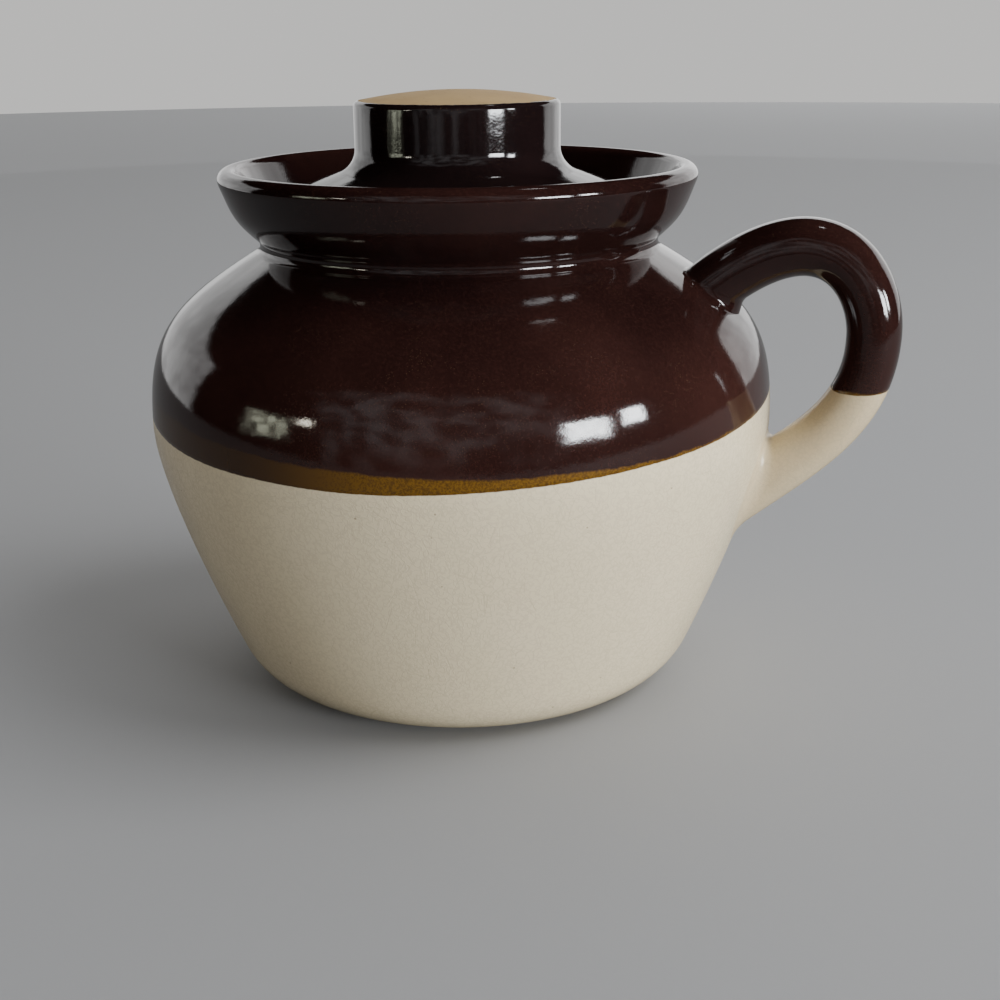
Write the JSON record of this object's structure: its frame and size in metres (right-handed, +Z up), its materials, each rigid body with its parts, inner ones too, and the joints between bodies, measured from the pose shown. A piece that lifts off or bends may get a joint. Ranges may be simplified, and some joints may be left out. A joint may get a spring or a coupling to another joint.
{
  "type": "bean pot",
  "caption": "Round-bellied stoneware bean pot with an ear-shaped handle, a flared collar and a loose lid with a flat round knob, in brown glaze over cream.",
  "frame": {"origin": "centre of the flat foot that the pot stands on, on the pot's axis", "axes": "+Z up along the pot's axis, +X towards the handle"},
  "size_m": [0.2123, 0.178, 0.1672],
  "materials": {
    "cream_glaze": "semi-gloss cream glaze below a glossy brown one",
    "handle_glaze": "glossy brown glaze, cream at the tail",
    "brown_glaze": "glossy dark brown glaze",
    "knob_glaze": "glossy dark brown glaze, bare tan clay on top"
  },
  "bodies": {
    "pot": {"pot_body": "cream_glaze", "handle": "handle_glaze"},
    "cover": {"lid": "brown_glaze", "lid_knob": "knob_glaze"}
  },
  "joints": [
    {"name": "lid_lift", "type": "slide", "parent": "pot", "child": "cover", "axis": [0, 0, 1], "range_m": [0, 0.06]}
  ]
}
